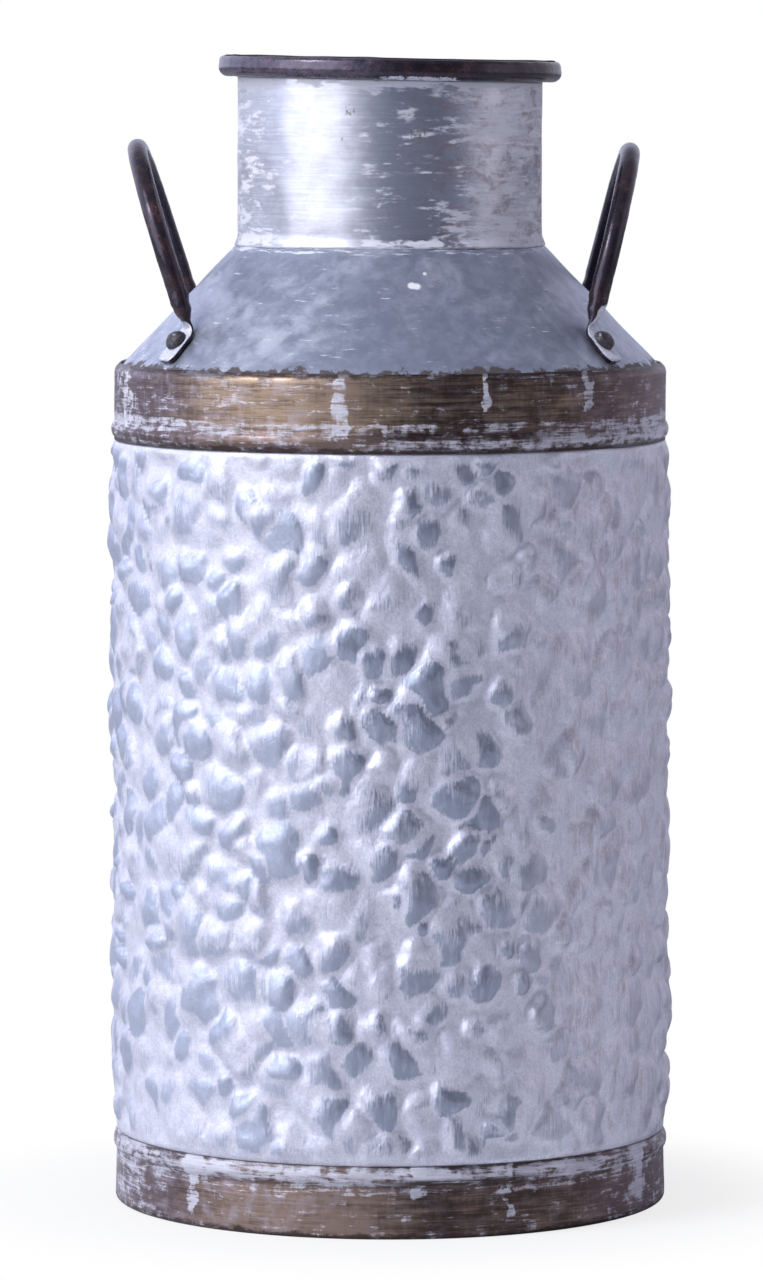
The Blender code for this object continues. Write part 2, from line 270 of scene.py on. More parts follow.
def seam(points, angles, low, high):
    """The raised lock seam between two heights at the back of a rolled sheet."""
    off_centre = from_seam(angles, np.hypot(points[..., 0], points[..., 1]))
    across = 1.0 - smooth_step(off_centre, SEAM_HALF_WIDTH - 0.5, SEAM_HALF_WIDTH + 0.7)
    ends = smooth_step(points[..., 2], low, low + 1.5)
    ends = ends * (1.0 - smooth_step(points[..., 2], high - 1.5, high))
    return SEAM_RISE * across * ends


def plain_dents(amount, size, seed, seam_span=None):
    """A sheet that is a little out of true, with a seam if it has one."""

    def dent(points, angles):
        push = amount * fractal_noise(points, size, seed, 2)
        if seam_span:
            push = push + seam(points, angles, *seam_span)
        return push

    return dent


# Nodes


class Nodes:
    """A node tree under construction. Each method adds a node or a few, and returns the output."""

    def __init__(self, tree):
        self.nodes = tree.nodes
        self.links = tree.links

    def new(self, kind, operation=None):
        node = self.nodes.new("ShaderNode" + kind)
        if operation:
            node.operation = operation
        return node

    def put(self, socket, value):
        if isinstance(value, bpy.types.NodeSocket):
            self.links.new(value, socket)
        elif isinstance(value, tuple) and len(value) == 3 and socket.type == "RGBA":
            socket.default_value = (*value, 1.0)
        else:
            socket.default_value = value

    def put_all(self, sockets, values):
        for label, value in values.items():
            self.put(sockets[label], value)

    def scaled(self, vector, factors):
        node = self.new("VectorMath", "MULTIPLY")
        self.put(node.inputs[0], vector)
        self.put(node.inputs[1], factors)
        return node.outputs[0]

    def split(self, vector):
        """The x, y and z of a vector."""
        node = self.new("SeparateXYZ")
        self.put(node.inputs[0], vector)
        return tuple(node.outputs)

    def math(self, operation, first, second=0.0):
        node = self.new("Math", operation)
        self.put(node.inputs[0], first)
        self.put(node.inputs[1], second)
        return node.outputs[0]

    def times(self, first, second):
        return self.math("MULTIPLY", first, second)

    def add(self, *terms):
        """The sum of the terms. A term is a value, or a pair of a value and its weight."""
        values = [self.times(*term) if isinstance(term, tuple) else term for term in terms]
        total = values[0]
        for value in values[1:]:
            total = self.math("ADD", total, value)
        return total

    def most(self, *values):
        """The largest of the values."""
        largest = values[0]
        for value in values[1:]:
            largest = self.math("MAXIMUM", largest, value)
        return largest

    def ramp(self, value, low, high, start=0.0, end=1.0, shape="SMOOTHSTEP"):
        """start below low and end above high, with a smooth or, for LINEAR, an even change between."""
        node = self.new("MapRange")
        node.interpolation_type = shape
        for socket, number in zip(node.inputs[:5], (value, low, high, start, end)):
            self.put(socket, number)
        return node.outputs[0]

    def mix(self, share, first, second):
        """Mixes two colours."""
        node = self.new("Mix")
        node.data_type = "RGBA"
        self.put(node.inputs[0], share)
        self.put(node.inputs[6], first)
        self.put(node.inputs[7], second)
        return node.outputs[2]


class Shader(Nodes):
    """A material under construction. Its patterns fill space, measured in mm."""

    def __init__(self, name):
        self.material = bpy.data.materials.new(name)
        self.material.use_nodes = True
        super().__init__(self.material.node_tree)
        self.surface = self.nodes["Principled BSDF"]
        metres = self.new("TexCoord").outputs["Object"]
        self.place = self.scaled(metres, (1.0 / MM,) * 3)
        self.side, _, self.height = self.split(self.place)

    def noise(self, size, detail=3.0, roughness=0.55, distortion=0.0, shift=0.0):
        """Noise from 0 to 1. size is one length in mm, or one for each of x, y and z."""
        sizes = size if isinstance(size, tuple) else (size,) * 3
        node = self.new("TexNoise")
        node.noise_dimensions = "4D"
        values = {
            "Vector": self.scaled(self.place, tuple(1.0 / s for s in sizes)),
            "W": shift,
            "Scale": 1.0,
            "Detail": detail,
            "Roughness": roughness,
            "Distortion": distortion,
        }
        self.put_all(node.inputs, values)
        return node.outputs["Fac"]

    def near(self, value, centre, reach):
        """1 where value is close to centre, and 0 from reach away."""
        distance = self.math("ABSOLUTE", self.math("SUBTRACT", value, centre))
        return self.ramp(distance, reach * 0.4, reach, 1.0, 0.0)

    def spot(self, centre, reach):
        """1 close to a place given in mm, and 0 from reach away."""
        node = self.new("VectorMath", "DISTANCE")
        self.put(node.inputs[0], self.place)
        self.put(node.inputs[1], centre)
        return self.ramp(node.outputs["Value"], reach * 0.5, reach, 1.0, 0.0)

    def ragged(self, value, pattern, width):
        """value made uneven by a pattern, so that a line of equal value becomes a ragged one."""
        return self.add(value, (self.math("SUBTRACT", pattern, 0.5), width))

    def attribute(self, name):
        node = self.new("Attribute")
        node.attribute_name = name
        return node.outputs["Fac"]

    def bump(self, height, depth_mm, strength=0.6):
        node = self.new("Bump")
        self.put_all(node.inputs, {"Strength": strength, "Distance": depth_mm * MM, "Height": height})
        return node.outputs["Normal"]

    def finish(self, colour, metallic, roughness, normal=None, specular=0.5, tint=(1.0, 1.0, 1.0)):
        values = {
            "Base Color": colour,
            "Metallic": metallic,
            "Roughness": roughness,
            "Specular IOR Level": specular,
            "Specular Tint": tint,
        }
        if normal is not None:
            values["Normal"] = normal
        self.put_all(self.surface.inputs, values)
        return self.material


# Colours, in linear light

# The body's bare zinc: the left colour is painted light and the right one painted shade
PAINTED_LIT_ZINC = (0.45, 0.50, 0.62)
PAINTED_SHADED_ZINC = (0.27, 0.31, 0.40)
BRIGHT_ZINC = (0.58, 0.62, 0.73)
WASH = (0.79, 0.80, 0.89)
THIN_WASH = (0.63, 0.64, 0.76)
BRUSHED_WASH = (0.88, 0.86, 0.95)
CREASE_WASH = (0.82, 0.83, 0.92)
WASH_STAIN = (0.53, 0.48, 0.53)
WASH_GRAIN = (0.30, 0.31, 0.40)
NECK_LOW = (0.52, 0.54, 0.61)
NECK_HIGH = (0.66, 0.67, 0.72)
# Darker zinc for the neck's painted dark reflection right of the middle
NECK_PAINTED_DARK_REFLECTION = (0.31, 0.34, 0.42)
NECK_BLOT = (0.36, 0.32, 0.36)
NECK_WASH = (0.78, 0.79, 0.86)
RUST = (0.16, 0.09, 0.05)
CONE_DARK = (0.335, 0.365, 0.455)
CONE_LIGHT = (0.425, 0.455, 0.555)
CONE_CLOUD = (0.76, 0.79, 0.88)
CONE_SCRATCH = (0.84, 0.85, 0.92)
CONE_STAIN = (0.36, 0.31, 0.32)
SPLASH_WHITE = (0.90, 0.91, 0.93)
SPILT_BROWN = (0.075, 0.05, 0.045)
GOLD = (0.34, 0.25, 0.18)
DULL_GOLD = (0.28, 0.205, 0.165)
BAND_BROWN = (0.055, 0.036, 0.032)
# A lighter mauve at the bands' left and right edges as seen from the front: a painted reflection
BAND_PAINTED_EDGE_REFLECTION = (0.25, 0.185, 0.21)
BAND_BEAD = (0.11, 0.075, 0.075)
BAND_VEIL = (0.46, 0.40, 0.46)
BAND_SCRAPE = (0.68, 0.68, 0.78)
# Dark for the bands' sheet edges, with the painted shade beside them and the bead
BAND_EDGE_DARK_AND_SHADE = (0.045, 0.03, 0.03)
CURL_BLACK = (0.012, 0.010, 0.012)
PAINT_BLACK = (0.007, 0.005, 0.007)
PAINT_BROWN = (0.030, 0.015, 0.015)
PAINT_RED = (0.11, 0.045, 0.035)
PAINT_DUST = (0.25, 0.23, 0.34)
# A lighter film at the rim's left: a painted highlight
PAINTED_HIGHLIGHT_FILM = (0.13, 0.11, 0.17)
PAINT_SHEEN = (0.86, 0.78, 1.0)
SPRAY_DARK = (0.56, 0.57, 0.66)
SPRAY_LIGHT = (0.76, 0.77, 0.86)
RIVET_DARK = (0.022, 0.019, 0.023)
RIVET_GREY = (0.085, 0.075, 0.090)
RIVET_PALE = (0.62, 0.62, 0.70)
FLOOR_GREY = (0.72, 0.72, 0.74)

# Places of single marks, in mm

NECK_BASE = cone_height(NECK_RADIUS) + 1.0
TILT = math.tan(math.radians(RIM_TILT_DEG))
NECK_RUST = (((10.5, -56.5, 407.0), 5.0), ((-15.0, -55.5, 416.0), 3.5))
CONE_SPLASHES = (
    ((8.3, -71.2, 351.9), 2.4),
    ((9.9, -71.1, 351.5), 2.2),
    ((13.0, -66.3, 356.2), 1.3),
)
CONE_SCRATCHES = (-33.0, -79.0, 337.0)
# Centre of the bands' painted highlight, where their paint is pushed towards gold
BAND_PAINTED_HIGHLIGHT_PLACE = -36.0
# Centre of the rim's painted highlight
RIM_PAINTED_HIGHLIGHT_PLACE = -36.0
RIM_SCUFF_PLACE = 10.0
# Centre of the painted shade beside the bands' bead
BEAD_PAINTED_SHADE_PLACE = 28.0

# Runs of whitish paint on the bands: sideways place, half width, lowest height and strength
SHOULDER_DRIPS = (
    (-99.5, 2.5, 296.0, 0.10),
    (-66.0, 14.0, 296.0, 0.03),
    (-19.0, 3.8, 296.0, 0.10),
    (35.0, 1.7, 305.0, 0.16),
    (73.0, 1.4, 303.0, 0.11),
)
BASE_DRIPS = (
    (-99.0, 8.0, 4.0, 0.05),
    (-74.0, 3.4, 4.0, 0.13),
    (11.0, 2.8, 12.0, 0.11),
    (44.0, 2.0, 6.0, 0.10),
    (94.0, 3.5, 5.0, 0.12),
)


# Materials


def hammered_zinc():
    """Zinc under a thin whitish wash that was rubbed off the crowns of the hammer marks, with the bare
    zinc lighter at the left and darker at the right: painted light and painted shade.

    The point attribute "raised" is how high a mark stands there, and "rubbed" how hard it was rubbed,
    more at each mark's lower right: painted shade there, and a painted highlight of whiter wash at its
    upper left.
    """
    s = Shader("hammered_zinc")
    strokes = s.noise((0.7, 0.7, 8.0), 4.0, 0.6)
    patches = s.noise(15.0, 4.0, 0.6, 0.5, shift=3.0)
    stipple = s.noise(0.9, 2.0, 0.75, shift=1.0)
    wrinkles = s.noise((5.0, 5.0, 6.5), 2.0, 0.5, 0.8, shift=18.0)
    clouds = s.noise(4.0, 5.0, 0.65, shift=5.0)
    tone = s.noise((3.0, 3.0, 11.0), 4.0, 0.6, shift=8.0)
    stain = s.noise((9.0, 9.0, 14.0), 5.0, 0.65, 0.4, shift=11.0)
    brush = s.noise((0.9, 0.9, 16.0), 5.0, 0.7, shift=15.0)
    covered = s.ramp(s.side, 25.0, 80.0)
    # 0 at the left and 1 from the middle rightwards; besides rubbing, shine and metal, it moves the bare
    # zinc from painted light to painted shade
    centre = s.ramp(s.side, -45.0, 0.0)

    rubbed = s.add(
        (s.attribute("rubbed"), 0.8),
        (strokes, 1.4),
        (patches, 1.2),
        (stipple, 0.4),
        (centre, -0.10),
        (covered, -0.2),
    )
    bare = s.times(s.ramp(rubbed, 1.80, 2.25), s.ramp(covered, 0.0, 1.0, 1.0, 0.45))
    # Bare zinc lighter at the left and darker from the middle rightwards: painted light and painted
    # shade
    zinc = s.mix(centre, PAINTED_LIT_ZINC, PAINTED_SHADED_ZINC)
    zinc = s.mix(s.ramp(tone, 0.45, 0.7, 0.0, 0.5), zinc, BRIGHT_ZINC)

    wash = s.mix(s.ramp(clouds, 0.3, 0.7), WASH, THIN_WASH)
    stained = s.times(s.ramp(stain, 0.42, 0.62), s.ramp(covered, 0.0, 1.0, 0.10, 0.85))
    wash = s.mix(stained, wash, WASH_STAIN)
    brushed = s.times(s.ramp(brush, 0.42, 0.60), s.ramp(covered, 0.0, 1.0, 0.2, 0.6))
    wash = s.mix(brushed, wash, BRUSHED_WASH)
    crease = s.ramp(s.add(s.attribute("raised"), (strokes, 0.3)), 0.20, 0.7, 1.0, 0.0)
    wash = s.mix(s.times(crease, s.ramp(covered, 0.0, 1.0, 0.25, 0.6)), wash, CREASE_WASH)

    colour = s.mix(s.times(bare, 0.92), wash, zinc)
    colour = s.mix(s.ramp(stipple, 0.38, 0.62, 0.26, 0.0), colour, WASH_GRAIN)
    shine = s.add(s.ramp(centre, 0.0, 1.0, 0.42, 0.34), (bare, -0.06), (stipple, 0.08))
    fine_relief = s.add((stipple, 1.1), strokes, (s.attribute("rubbed"), -0.4))
    normal = s.bump(s.add(fine_relief, (wrinkles, 4.0)), 0.2)
    metallic = s.add(s.ramp(bare, 0.0, 1.0, 0.0, 0.3), s.ramp(centre, 0.0, 1.0, 0.32, 0.48))
    return s.finish(colour, metallic, shine, normal)


def neck_zinc():
    """Bright zinc brushed round the neck, with whitish streaks, a few rust marks, a painted curl and a
    painted dark reflection right of the middle.
    """
    s = Shader("neck_zinc")
    brushed = s.noise((26.0, 26.0, 0.9), 4.0, 0.7)
    streaks = s.noise((13.0, 13.0, 2.4), 5.0, 0.7, 0.3, shift=3.0)
    blots = s.noise(6.0, 5.0, 0.7, 0.5, shift=5.0)
    groups = s.noise((14.0, 14.0, 9.0), 3.0, 0.6, shift=14.0)
    grain = s.noise(0.8, 2.0, 0.7, shift=8.0)
    specks = s.noise((1.4, 1.4, 2.6), 4.0, 0.75, 0.4, shift=9.0)
    freckles = s.noise(4.0, 3.0, 0.6, shift=11.0)
    right = s.ramp(s.side, 5.0, 30.0)
    left_edge = s.ramp(s.side, -57.0, -40.0, 1.0, 0.0)
    # Right of the middle, where the neck reflects the dark part of the studio
    dark_reflection_zone = s.near(s.side, 12.0, 26.0)

    colour = s.mix(s.ramp(brushed, 0.35, 0.65), NECK_LOW, NECK_HIGH)
    # A painted dark reflection: darker zinc in a band right of the middle
    colour = s.mix(s.times(dark_reflection_zone, 0.8), colour, NECK_PAINTED_DARK_REFLECTION)
    blotting = s.times(s.ramp(blots, 0.45, 0.58), s.ramp(right, 0.0, 1.0, 0.2, 0.9))
    colour = s.mix(blotting, colour, NECK_BLOT)

    base_line = s.times(s.near(s.height, NECK_BASE, 4.0), s.ramp(groups, 0.35, 0.6, 0.3, 1.0))
    worn = s.add(
        (streaks, 0.50),
        (blots, 0.22),
        (groups, 0.28),
        (left_edge, 0.045),
        (right, 0.045),
        (base_line, 0.045),
        s.ramp(s.height, RIM_LOW.z - 5.0, RIM_LOW.z - 1.0, 0.0, 0.10),
    )
    wash = s.ramp(worn, 0.525, 0.60, 0.0, 0.9)
    colour = s.mix(wash, colour, NECK_WASH)

    marks = s.most(*(s.spot(centre, reach) for centre, reach in NECK_RUST))
    rust = s.ramp(s.add((marks, 0.22), specks), 0.71, 0.80)
    rust = s.most(rust, s.times(s.ramp(freckles, 0.70, 0.76), 0.7))
    colour = s.mix(s.times(rust, 0.75), colour, RUST)
    curl = s.ramp(s.add(s.height, (s.side, TILT)), RIM_LOW.z - 0.8, RIM_LOW.z + 0.2)
    colour = s.mix(curl, colour, CURL_BLACK)

    dull = s.most(wash, rust, curl)
    shine = s.add(s.ramp(dull, 0.0, 1.0, 0.32, 0.44), (brushed, 0.06))
    shine = s.add(shine, s.ramp(s.math("ABSOLUTE", s.side), 38.0, 54.0, 0.0, 0.25))
    normal = s.bump(s.add((brushed, 0.35), (blots, 1.2), (grain, 0.4)), 0.06)
    return s.finish(colour, s.ramp(dull, 0.0, 1.0, 0.92, 0.15), shine, normal)


def cone_zinc():
    """Dull blue-grey zinc, clouded and scratched, with a white splash and brown paint at its foot."""
    s = Shader("cone_zinc")
    clouds = s.noise((20.0, 20.0, 14.0), 4.0, 0.5, 0.6)
    blots = s.noise(6.0, 5.0, 0.65, 0.4, shift=3.0)
    scratches = s.noise((9.0, 9.0, 0.9), 4.0, 0.75, 0.3, shift=6.0)
    grain = s.noise(0.8, 2.0, 0.7, shift=8.0)
    stains = s.noise(7.0, 4.0, 0.7, shift=12.0)
    left = s.ramp(s.side, -100.0, -20.0, 1.0, 0.0)
    patch = s.spot(CONE_SCRATCHES, 28.0)

    colour = s.mix(s.ramp(blots, 0.35, 0.65), CONE_DARK, CONE_LIGHT)
    milky = s.add((clouds, 0.7), (blots, 0.3), (left, 0.10), (patch, 0.06))
    wash = s.ramp(milky, 0.46, 0.76, 0.0, 0.45)
    colour = s.mix(wash, colour, CONE_CLOUD)
    foot = s.ramp(s.height, CONE_FOOT, CONE_FOOT + 7.0, 1.0, 0.0)
    edges = s.most(foot, s.near(s.height, NECK_BASE, 6.0))
    scratched = s.add(scratches, (edges, 0.12), (left, 0.03), (patch, 0.02))
    lines = s.ramp(scratched, 0.61, 0.70, 0.0, 0.8)
    colour = s.mix(lines, colour, CONE_SCRATCH)
    colour = s.mix(s.ramp(stains, 0.62, 0.72, 0.0, 0.5), colour, CONE_STAIN)
    splash = s.most(*(s.spot(centre, reach) for centre, reach in CONE_SPLASHES))
    colour = s.mix(splash, colour, SPLASH_WHITE)
    spill = s.ramp(s.ragged(s.height, blots, 12.0), CONE_FOOT + 4.2, CONE_FOOT + 5.0, 0.9, 0.0)
    colour = s.mix(spill, colour, SPILT_BROWN)

    dull = s.most(wash, lines, splash, spill)
    shine = s.add(s.ramp(dull, 0.0, 1.0, 0.34, 0.50), (blots, 0.08))
    normal = s.bump(s.add((blots, 0.8), scratches, (grain, 0.5), splash), 0.12)
    return s.finish(colour, s.ramp(dull, 0.0, 1.0, 0.80, 0.25), shine, normal)


def bronze_paint(name, low, high, bead_low, field_side, gold, drips):
    """Brown and gold paint brushed round a band from low to high, with whitish scrapes and runs, and
    with painted light: a painted highlight, a painted edge reflection and painted shade at its edges and
    bead.

    field_side is 1 where the band's flat field lies above its bead, as on the shoulder, and -1 where it
    lies below, as at the base. gold is the colour of the most worn paint. Lengths are in mm.
    """
    s = Shader(name)
    bead_centre = bead_low + BEAD_HEIGHT / 2
    bead_foot = bead_centre + field_side * (BEAD_HEIGHT / 2 + 1.2)
    strokes = s.noise((34.0, 34.0, 1.5), 4.0, 0.7)
    fine = s.noise((16.0, 16.0, 0.9), 3.0, 0.7, shift=9.0)
    wide = s.noise((13.0, 13.0, 9.0), 5.0, 0.6, 0.5, shift=2.0)
    feather = s.noise((1.5, 1.5, 11.0), 4.0, 0.7, shift=12.0)
    veil = s.noise((9.0, 9.0, 7.0), 5.0, 0.65, 0.5, shift=20.0)
    scrapes = s.noise((7.0, 7.0, 5.0), 5.0, 0.7, 0.5, shift=6.0)
    level = s.noise((16.0, 16.0, 1.2), 4.0, 0.7, shift=14.0)
    wavering = s.ragged(s.side, s.noise(9.0, 3.0, 0.6, shift=17.0), 14.0)
    # Paint pushed towards gold left of the middle, where the key light's reflection falls: a painted
    # highlight
    painted_highlight_gold = s.near(s.side, BAND_PAINTED_HIGHLIGHT_PLACE, 54.0)
    # 0 round the front and 1 at the band's left and right edges; it adds a painted reflection and more
    # scrapes there
    ends = s.ramp(s.math("ABSOLUTE", s.side), 62.0, 100.0)

    tone = s.add((strokes, 0.30), (fine, 0.36), (wide, 0.34), (feather, 0.16), (painted_highlight_gold, 0.15))
    colour = s.mix(s.ramp(tone, 0.51, 0.80), BAND_BROWN, gold)
    # Lighter mauve towards the left and right edges: a painted reflection of the bright surroundings
    colour = s.mix(s.times(ends, 0.5), colour, BAND_PAINTED_EDGE_REFLECTION)
    colour = s.mix(s.times(s.near(s.height, bead_centre, BEAD_HEIGHT), 0.7), colour, BAND_BEAD)
    veiled = s.times(s.ramp(veil, 0.46, 0.66), s.ramp(s.side, -50.0, 0.0, 0.40, 0.10))
    colour = s.mix(veiled, colour, BAND_VEIL)

    if field_side > 0:
        bead_strength = s.ramp(s.side, -25.0, 15.0, 0.02, 0.10)
        foot_strength = 0.075
    else:
        bead_strength = s.ramp(ends, 0.0, 1.0, 0.13, 0.06)
        foot_strength = 0.045
    on_bead = s.times(s.near(s.height, bead_centre, BEAD_HEIGHT * 0.75), bead_strength)
    at_foot = s.times(s.near(s.height, bead_foot, 3.6), foot_strength)
    lower_edge = s.ramp(s.height, low, low + 2.5, 1.0, 0.0)
    upper_edge = s.ramp(s.height, high - 3.0, high)
    scraped = s.add(
        (scrapes, 0.48),
        (feather, 0.10),
        (level, 0.42),
        (ends, s.ramp(s.height, low, high, 0.045, 0.015)),
        (s.most(lower_edge, upper_edge), 0.05),
        s.most(on_bead, at_foot),
    )
    for place, half_width, lowest, strength in drips:
        run = s.near(wavering, place, half_width)
        scraped = s.add(scraped, (run, s.ramp(s.height, lowest - 2.0, lowest + 4.0, 0.0, strength)))
    pale = s.ramp(scraped, 0.54, 0.65)
    thickness = s.ramp(s.add((fine, 0.5), (wide, 0.5)), 0.40, 0.60, 0.65, 0.95)
    colour = s.mix(s.times(pale, thickness), colour, BAND_SCRAPE)

    torn = s.ragged(s.height, scrapes, 7.0)
    # A dark line at the bead, right of the middle: partly the sheet's edge, partly painted shade in the
    # groove
    seam_line_and_painted_shade = s.times(s.near(s.side, BEAD_PAINTED_SHADE_PLACE, 42.0), s.ramp(level, 0.40, 0.50))
    seam_line_and_painted_shade = s.times(seam_line_and_painted_shade, s.near(s.height, bead_foot - field_side * 2.0, 2.2))
    # Darker ragged lower edge, and upper edge on the shoulder: dark sheet edges with painted shade in
    # the gaps beside them
    dark = s.most(seam_line_and_painted_shade, s.ramp(torn, low + 1.0, low + 2.6, 0.85, 0.0))
    if field_side > 0:
        dark = s.most(dark, s.ramp(torn, high - 2.2, high - 0.8, 0.0, 0.75))
    colour = s.mix(dark, colour, BAND_EDGE_DARK_AND_SHADE)

    shine = s.add(s.ramp(pale, 0.0, 1.0, 0.30, 0.48), (strokes, 0.15))
    normal = s.bump(s.add(strokes, (fine, 0.6), (wide, 2.0), (pale, 1.2)), 0.16, 0.7)
    return s.finish(colour, s.ramp(pale, 0.0, 1.0, 0.88, 0.1), shine, normal)


def black_paint(name):
    """Near-black brown paint, worn to red-brown, with a painted highlight film at the left where the key
    light falls, and scuffed under the rim.

    The point attribute "spray" is how much of the can's wash covers the paint, as on the handles' feet.
    """
    s = Shader(name)
    blotches = s.noise(7.0, 4.0, 0.6)
    fine = s.noise(0.9, 3.0, 0.7, shift=3.0)
    worn = s.noise(3.0, 4.0, 0.7, 0.3, shift=6.0)
    colour = s.mix(s.ramp(blotches, 0.42, 0.65), PAINT_BLACK, PAINT_BROWN)
    rubbed = s.ramp(s.add((worn, 0.6), (blotches, 0.4)), 0.54, 0.63, 0.0, 0.6)
    colour = s.mix(rubbed, colour, PAINT_RED)
    dust = s.ramp(s.add((fine, 0.5), (blotches, 0.5)), 0.58, 0.72, 0.0, 0.25)
    colour = s.mix(dust, colour, PAINT_DUST)
    # A lighter film left of the middle, where the key light's highlight falls on the rim: a painted
    # highlight, with more specular there too
    painted_highlight_zone = s.near(s.side, RIM_PAINTED_HIGHLIGHT_PLACE, 44.0)
    highlight_film = s.ramp(s.add((worn, 0.7), (fine, 0.3)), 0.42, 0.56, 0.0, 0.34)
    colour = s.mix(s.times(painted_highlight_zone, highlight_film), colour, PAINTED_HIGHLIGHT_FILM)

    level = s.add(s.height, (s.side, TILT))
    under_rim = s.times(s.near(level, RIM_LOW.z, 2.4), s.near(s.side, RIM_SCUFF_PLACE, 26.0))
    covered = s.ragged(s.add(s.attribute("spray"), (under_rim, 0.62)), worn, 1.2)
    spray = s.ramp(covered, 0.42, 0.60)
    colour = s.mix(spray, colour, s.mix(s.ramp(fine, 0.35, 0.65), SPRAY_DARK, SPRAY_LIGHT))

    shine = s.add(s.ramp(fine, 0.2, 0.8, 0.16, 0.32), (spray, 0.2))
    normal = s.bump(s.add(fine, (worn, 0.8)), 0.05)
    specular = s.ramp(painted_highlight_zone, 0.0, 1.0, 0.6, 1.0)
    return s.finish(colour, s.times(spray, 0.3), shine, normal, specular, PAINT_SHEEN)


def rivet_paint():
    """Dark paint on the rivets' heads, scuffed to a pale grey."""
    s = Shader("rivet_paint")
    scuffs = s.noise(1.8, 4.0, 0.7, 0.3)
    patches = s.noise(4.0, 3.0, 0.6, shift=4.0)
    colour = s.mix(s.ramp(scuffs, 0.40, 0.65), RIVET_DARK, RIVET_GREY)
    pale = s.ramp(s.add((scuffs, 0.5), (patches, 0.5)), 0.56, 0.64, 0.0, 0.8)
    colour = s.mix(pale, colour, RIVET_PALE)
    return s.finish(colour, 0.1, s.ramp(scuffs, 0.3, 0.7, 0.32, 0.55), s.bump(scuffs, 0.2, 0.7))


# The hammered body. Lengths are in mm

HAMMER_SPACING = (12.8, 14.0)  # around and up
HAMMER_COLUMNS = 490
HAMMER_ROW_STEP = 1.7
HAMMER_FADE = 6.0  # the marks die out over this length next to the bands and the seam
HAMMER_GROUND = -1.0  # the sheet between the marks, from the body's nominal radius
OUTLINE_WARP = 3.0  # how far a mark's outline wanders
OUTLINE_WOBBLE = 1.2  # the same, over shorter lengths
FULL_MARK = 1.9  # a mark this much higher than its surroundings counts as fully raised
PAINTED_SHADE_SKEW = 0.45  # how much more a mark's lower right was rubbed than its middle: darker bare zinc there as painted shade, whiter wash at its upper left as a painted highlight
DOME_CURVE = 2.2  # 2 makes a parabola, and more a flatter top

# The ranges of a mark's random place, size and shape
OFF_GRID = 0.4
HALF_WIDTHS = (5.2, 10.6)
STRETCHES = (0.85, 1.55)
RISES = (1.5, 3.9)
RUBS = (0.4, 1.5)
TURN = 0.4
LEAN = 0.4
TAPER = 0.35
SQUARENESSES = (1.8, 2.8)


def draw_mark(rng):
    """A random hammer mark."""
    half_width = rng.uniform(*HALF_WIDTHS)
    return SimpleNamespace(
        half_width=half_width,
        half_height=half_width * rng.uniform(*STRETCHES),
        rise=rng.uniform(*RISES),
        rub=rng.uniform(*RUBS),
        turn=rng.normal(0.0, TURN),
        lean=rng.uniform(-LEAN, LEAN, 2),
        taper=rng.uniform(-TAPER, TAPER),
        squareness=rng.uniform(*SQUARENESSES),
    )


def mark_surface(mark, x, y):
    """The mark's height and how hard it was rubbed, at x and y from its centre."""
    upright = (y * math.cos(mark.turn) - x * math.sin(mark.turn)) / mark.half_height
    along = (x * math.cos(mark.turn) + y * math.sin(mark.turn)) / mark.half_width
    along = along * (1.0 + mark.taper * np.clip(upright, -1.0, 1.0))
    power = mark.squareness
    distance = (np.abs(along) ** power + np.abs(upright) ** power) ** (1.0 / power)
    lean = 1.0 + mark.lean[0] * along + mark.lean[1] * upright
    dome = np.clip(1.0 - distance**DOME_CURVE, 0.0, 1.0) * lean
    # More rubbing towards the lower right: the darker bare zinc there is painted shade, and the whiter
    # wash at the upper left a painted highlight
    rub = mark.rub * (1.0 + PAINTED_SHADE_SKEW * np.clip(along - upright, -1.0, 1.0))
    return mark.rise * dome + HAMMER_GROUND, rub


def hammer_marks(points, angles):
    """Relief of the hammer marks, how raised each point is from 0 to 1, and how hard it was rubbed, more
    at each mark's lower right as painted shade.
    """
    rng = np.random.default_rng(SEED)
    around = angles * BODY_RADIUS
    up = points[:, 0, 2]
    girth = 2 * math.pi * BODY_RADIUS
    warp = [
        OUTLINE_WARP * lattice_noise(points, 9.0, SEED + 1 + i)
        + OUTLINE_WOBBLE * lattice_noise(points, 3.6, SEED + 3 + i)
        for i in range(2)
    ]
    relief = HAMMER_GROUND + 0.45 * lattice_noise(points, 11.0, SEED + 7)
    second = relief.copy()
    reached = np.zeros_like(relief)
    across_count = round(girth / HAMMER_SPACING[0])
    spacing = girth / across_count
    level_count = math.ceil((up.max() - up.min()) / HAMMER_SPACING[1]) + 1
    for level, place in np.ndindex(level_count, across_count):
        centre_around = (place + 0.5 * (level % 2) + rng.uniform(-OFF_GRID, OFF_GRID)) * spacing
        centre_up = up.min() + (level + rng.uniform(-OFF_GRID, OFF_GRID)) * HAMMER_SPACING[1]
        mark = draw_mark(rng)
        reach = max(mark.half_width, mark.half_height) * 1.4 + OUTLINE_WARP + 1.0
        rows = np.flatnonzero(np.abs(up - centre_up) < reach)
        offset = (around - centre_around + girth / 2) % girth - girth / 2
        columns = np.flatnonzero(np.abs(offset) < reach)
        if not len(rows):
            continue
        window = np.ix_(rows, columns)
        x = offset[columns][None, :] + warp[0][window]
        y = (up[rows] - centre_up)[:, None] + warp[1][window]
        height, rub = mark_surface(mark, x, y)
        reached[window] = np.where(height > relief[window], rub, reached[window])
        second[window] = np.maximum(second[window], np.minimum(relief[window], height))
        relief[window] = np.maximum(relief[window], height)
    raised = np.clip((relief - second) / FULL_MARK, 0.0, 1.0)
    return relief, raised, raised * reached


